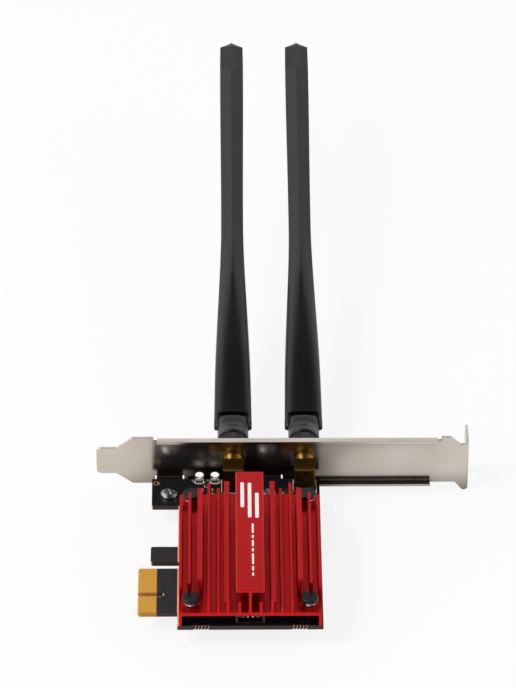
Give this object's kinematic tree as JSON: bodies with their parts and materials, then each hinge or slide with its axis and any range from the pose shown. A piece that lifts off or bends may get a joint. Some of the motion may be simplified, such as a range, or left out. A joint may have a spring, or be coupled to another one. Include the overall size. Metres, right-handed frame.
{
  "type": "wireless network card",
  "caption": "Expansion card with a finned red heatsink, a folded steel slot bracket, a gold contact edge and hinged, swivelling stick aerials.",
  "frame": {"origin": "middle of the key notch, on the contact edge, in the circuit board's mid-plane", "axes": "-X is the way the contact edge goes into its socket, +Y points out through the bracket along the aerials, +Z is the component side"},
  "size_m": [0.12, 0.2786, 0.04],
  "materials": {
    "black_fr4": "black solder mask, satin",
    "gold_contacts": "hard gold plating",
    "nickel_steel": "bright nickel plating",
    "zinc_screws": "bright zinc plating",
    "red_aluminium": "red anodised, satin",
    "thermal_pad": "soft silicone",
    "black_nylon": "moulded nylon",
    "spring_steel": "bright wire",
    "module_board": "green solder mask",
    "tinned_can": "tin plated sheet",
    "black_lcp": "moulded connector plastic",
    "gold_brass": "gold plated brass",
    "black_fep": "cable jacket",
    "white_ptfe": "turned PTFE",
    "tinned_pins": "tin plated pins",
    "clear_lens": "clear epoxy",
    "chip_body": "black coated chips",
    "chip_ceramic": "tan ceramic chips",
    "black_abs": "finely grained moulding"
  },
  "bodies": {
    "card": {"circuit_board": "black_fr4", "edge_contacts_top": "gold_contacts", "edge_contacts_bottom": "gold_contacts", "bracket": "nickel_steel", "bracket_screws": "zinc_screws", "heatsink": "red_aluminium", "thermal_pad": "thermal_pad", "push_pins": "black_nylon", "push_pin_springs": "spring_steel", "radio_module": "module_board", "radio_can": "tinned_can", "module_socket": "black_lcp", "socket_contacts": "gold_contacts", "module_standoff": "gold_brass", "module_screw": "zinc_screws", "coax_jacks": "gold_brass", "coax_plugs": "tinned_can", "left_coax_lead": "black_fep", "right_coax_lead": "black_fep", "left_jack": "gold_brass", "right_jack": "gold_brass", "left_jack_insulator": "white_ptfe", "right_jack_insulator": "white_ptfe", "left_jack_pin": "gold_contacts", "right_jack_pin": "gold_contacts", "jack_washers": "nickel_steel", "jack_nuts": "gold_brass", "header_shell": "black_lcp", "header_pins": "tinned_pins", "status_lights": "clear_lens", "chip_resistors": "chip_body", "chip_capacitors": "chip_ceramic", "left_ring_nut": "black_nylon", "right_ring_nut": "black_nylon"},
    "left_base": {"left_plug": "gold_brass", "left_plug_insulator": "white_ptfe", "left_plug_socket": "gold_contacts", "left_knuckle": "black_abs"},
    "left_aerial": {"left_blade": "black_abs", "left_hinge_pin": "black_abs", "left_radiator": "gold_brass", "left_feed_lead": "black_fep"},
    "right_base": {"right_plug": "gold_brass", "right_plug_insulator": "white_ptfe", "right_plug_socket": "gold_contacts", "right_knuckle": "black_abs"},
    "right_aerial": {"right_blade": "black_abs", "right_hinge_pin": "black_abs", "right_radiator": "gold_brass", "right_feed_lead": "black_fep"}
  },
  "joints": [
    {"name": "left_swivel", "type": "hinge", "parent": "card", "child": "left_base", "pos_m": [0.0299, 0.0698, 0.00581], "axis": [0, 1, 0], "range_deg": [-180, 180]},
    {"name": "left_tilt", "type": "hinge", "parent": "left_base", "child": "left_aerial", "pos_m": [0.0299, 0.079, 0.00581], "axis": [1, 0, 0], "range_deg": [-8, 82]},
    {"name": "right_swivel", "type": "hinge", "parent": "card", "child": "right_base", "pos_m": [0.0529, 0.0698, 0.00581], "axis": [0, 1, 0], "range_deg": [-180, 180]},
    {"name": "right_tilt", "type": "hinge", "parent": "right_base", "child": "right_aerial", "pos_m": [0.0529, 0.079, 0.00581], "axis": [1, 0, 0], "range_deg": [-8, 82]}
  ]
}
